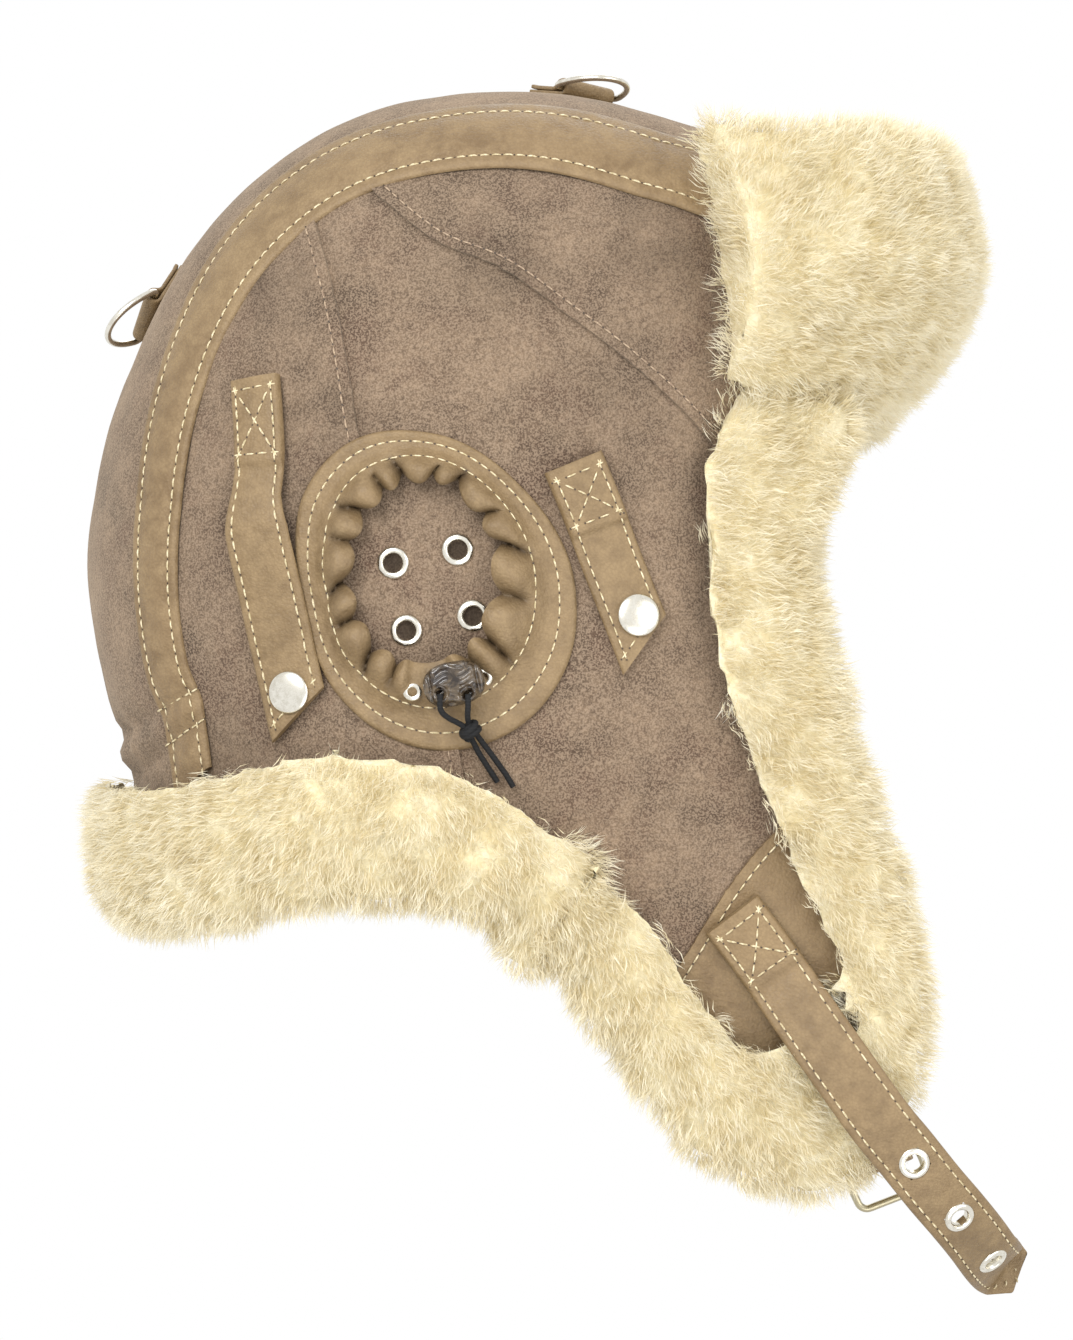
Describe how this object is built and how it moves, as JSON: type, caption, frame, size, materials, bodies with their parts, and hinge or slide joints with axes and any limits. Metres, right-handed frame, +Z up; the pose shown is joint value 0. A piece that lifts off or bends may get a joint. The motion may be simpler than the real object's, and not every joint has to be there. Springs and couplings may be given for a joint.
{
  "type": "leather flying helmet",
  "caption": "Suede sheepskin flying helmet with a turned-up fur visor, ear flaps, gathered ear pockets, goggle straps, D-rings and an open chin strap.",
  "frame": {"origin": "inside top of the crown, where the head carries the helmet", "axes": "+X towards the face, +Z up, +Y towards the wearer's left"},
  "size_m": [0.2815, 0.2076, 0.367],
  "materials": {
    "suede": "brushed mauve-brown suede",
    "smooth_leather": "soft tan grained leather",
    "sheepskin_wool": "clipped cream wool",
    "nickel": "polished nickel plate",
    "buckle_metal": "dull plated wire",
    "lock_plastic": "smoky dark plastic",
    "elastic_cord": "black braided elastic"
  },
  "bodies": {
    "root": {"crown_centre_panel": "suede", "brow_panel_right": "suede", "cheek_panel_right": "suede", "rear_panel_right": "suede", "ear_disc_right": "suede", "chin_patch_right": "smooth_leather", "ear_pocket_right": "smooth_leather", "trim_band_right": "smooth_leather", "rear_strap_right": "smooth_leather", "front_strap_right": "smooth_leather", "ear_eyelet_right_1": "nickel", "ear_eyelet_right_2": "nickel", "ear_eyelet_right_3": "nickel", "ear_eyelet_right_4": "nickel", "cord_eyelet_right_1": "nickel", "ear_cord_right_1": "elastic_cord", "cord_eyelet_right_2": "nickel", "ear_cord_right_2": "elastic_cord", "rear_snap_right": "nickel", "front_snap_right": "nickel", "cord_knot_right": "elastic_cord", "cord_lock_right": "lock_plastic", "fur_flap_right": "sheepskin_wool", "brow_panel_left": "suede", "cheek_panel_left": "suede", "rear_panel_left": "suede", "ear_disc_left": "suede", "chin_patch_left": "smooth_leather", "ear_pocket_left": "smooth_leather", "trim_band_left": "smooth_leather", "rear_strap_left": "smooth_leather", "front_strap_left": "smooth_leather", "ear_eyelet_left_1": "nickel", "ear_eyelet_left_2": "nickel", "ear_eyelet_left_3": "nickel", "ear_eyelet_left_4": "nickel", "cord_eyelet_left_1": "nickel", "ear_cord_left_1": "elastic_cord", "cord_eyelet_left_2": "nickel", "ear_cord_left_2": "elastic_cord", "rear_snap_left": "nickel", "front_snap_left": "nickel", "cord_knot_left": "elastic_cord", "cord_lock_left": "lock_plastic", "fur_flap_left": "sheepskin_wool", "fur_nape": "sheepskin_wool", "fur_visor": "sheepskin_wool", "crown_tab": "smooth_leather", "back_tab": "smooth_leather", "chin_strap": "smooth_leather", "buckle_strap": "smooth_leather", "buckle_loop": "smooth_leather", "chin_eyelet_1": "nickel", "chin_eyelet_2": "nickel", "chin_eyelet_3": "nickel"},
    "crown_ring": {"crown_ring": "nickel"},
    "back_ring": {"back_ring": "nickel"},
    "buckle": {"buckle": "buckle_metal"}
  },
  "joints": [
    {"name": "crown_ring_swing", "type": "hinge", "parent": "root", "child": "crown_ring", "pos_m": [0.04537, 0.00602, 0.01194], "axis": [-0.8148, -0.5581, 0.1572], "range_deg": [0, 130]},
    {"name": "back_ring_swing", "type": "hinge", "parent": "root", "child": "back_ring", "pos_m": [-0.0879, 0.00917, -0.0558], "axis": [-0.261, 0.713, -0.6508], "range_deg": [0, 125]},
    {"name": "buckle_swing", "type": "hinge", "parent": "root", "child": "buckle", "pos_m": [0.13866, 0.0822, -0.31749], "axis": [-0.932, 0, -0.3624], "range_deg": [-60, 120]}
  ]
}
